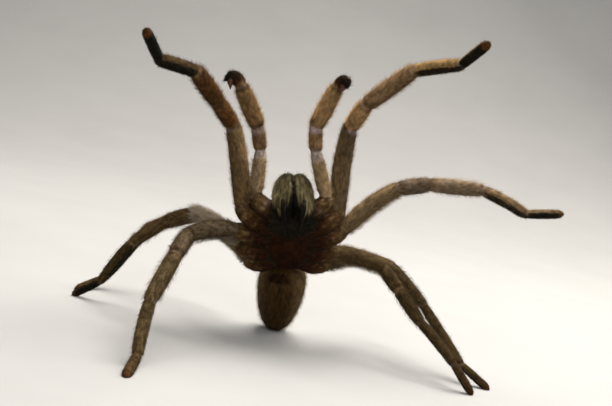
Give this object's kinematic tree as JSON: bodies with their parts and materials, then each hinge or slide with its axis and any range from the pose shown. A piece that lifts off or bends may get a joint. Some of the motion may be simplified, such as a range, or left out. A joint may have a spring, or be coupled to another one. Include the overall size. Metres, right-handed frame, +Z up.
{
  "type": "barking spider",
  "caption": "Life-size still model of a male barking spider, a big burrowing mygalomorph, reared up in its threat pose with its front legs and palps raised and its abdomen on the ground.",
  "frame": {"origin": "middle of the bounding box at floor level, under the spider", "axes": "+Z up; the spider's own left side is towards +X; it faces -Y and rears up, so its underside looks towards -Y"},
  "size_m": [0.0942, 0.0561, 0.0666],
  "materials": {
    "coat": "skin under short velvety grey-brown hair, darker under the feet and on the underside of the body",
    "fang": "smooth glossy black horn",
    "eye": "smooth glossy black lenses on a low mound"
  },
  "bodies": {
    "root": {"carapace": "coat", "eyes": "eye", "sternum": "coat", "pedicel": "coat", "abdomen": "coat", "spinneret_left": "coat", "spinneret_right": "coat", "chelicera_left": "coat", "chelicera_right": "coat", "fang_left": "fang", "fang_right": "fang", "palp_left_coxa": "coat", "palp_left_femur": "coat", "palp_left_shank": "coat", "palp_left_tarsus": "coat", "leg_left_1_coxa": "coat", "leg_left_1_femur": "coat", "leg_left_1_shank": "coat", "leg_left_1_metatarsus": "coat", "leg_left_1_tarsus": "coat", "leg_left_2_coxa": "coat", "leg_left_2_femur": "coat", "leg_left_2_shank": "coat", "leg_left_2_metatarsus": "coat", "leg_left_2_tarsus": "coat", "leg_left_3_coxa": "coat", "leg_left_3_femur": "coat", "leg_left_3_shank": "coat", "leg_left_3_metatarsus": "coat", "leg_left_3_tarsus": "coat", "leg_left_4_coxa": "coat", "leg_left_4_femur": "coat", "leg_left_4_shank": "coat", "leg_left_4_metatarsus": "coat", "leg_left_4_tarsus": "coat", "palp_right_coxa": "coat", "palp_right_femur": "coat", "palp_right_shank": "coat", "palp_right_tarsus": "coat", "leg_right_1_coxa": "coat", "leg_right_1_femur": "coat", "leg_right_1_shank": "coat", "leg_right_1_metatarsus": "coat", "leg_right_1_tarsus": "coat", "leg_right_2_coxa": "coat", "leg_right_2_femur": "coat", "leg_right_2_shank": "coat", "leg_right_2_metatarsus": "coat", "leg_right_2_tarsus": "coat", "leg_right_3_coxa": "coat", "leg_right_3_femur": "coat", "leg_right_3_shank": "coat", "leg_right_3_metatarsus": "coat", "leg_right_3_tarsus": "coat", "leg_right_4_coxa": "coat", "leg_right_4_femur": "coat", "leg_right_4_shank": "coat", "leg_right_4_metatarsus": "coat", "leg_right_4_tarsus": "coat"}
  },
  "joints": []
}
